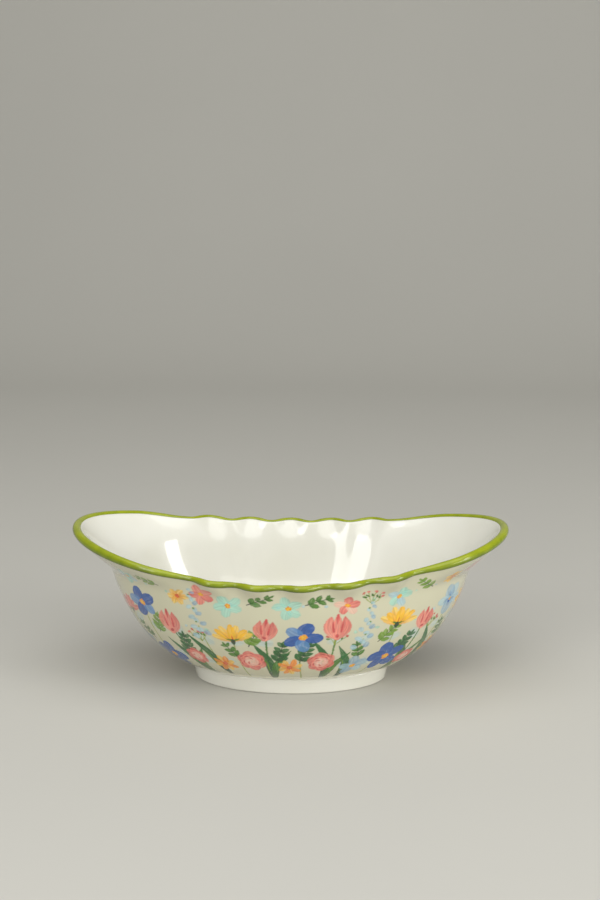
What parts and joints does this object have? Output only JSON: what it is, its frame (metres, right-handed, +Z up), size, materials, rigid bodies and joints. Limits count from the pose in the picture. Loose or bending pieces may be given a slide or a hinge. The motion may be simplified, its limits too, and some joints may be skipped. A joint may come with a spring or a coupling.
{
  "type": "oval serving bowl",
  "caption": "Oval serving bowl in glazed porcelain with raised ends, a lobed rim with a rolled coloured bead, a painted floral wall and an oval foot ring.",
  "frame": {"origin": "on the resting plane, under the middle of the bowl", "axes": "+X along the bowl, +Y across it towards the back, +Z up"},
  "size_m": [0.33, 0.1944, 0.1213],
  "materials": {
    "painted_glaze": "clear gloss glaze over warm white porcelain, with hand-painted flowers in a band round the outside",
    "rim_glaze": "gloss olive green glaze, lighter where it runs thin over the top of the bead",
    "foot_glaze": "plain warm white glaze, wiped bare and slightly rough on the resting face"
  },
  "bodies": {
    "root": {"bowl_body": "painted_glaze", "rim_bead": "rim_glaze", "foot_ring": "foot_glaze"}
  },
  "joints": []
}
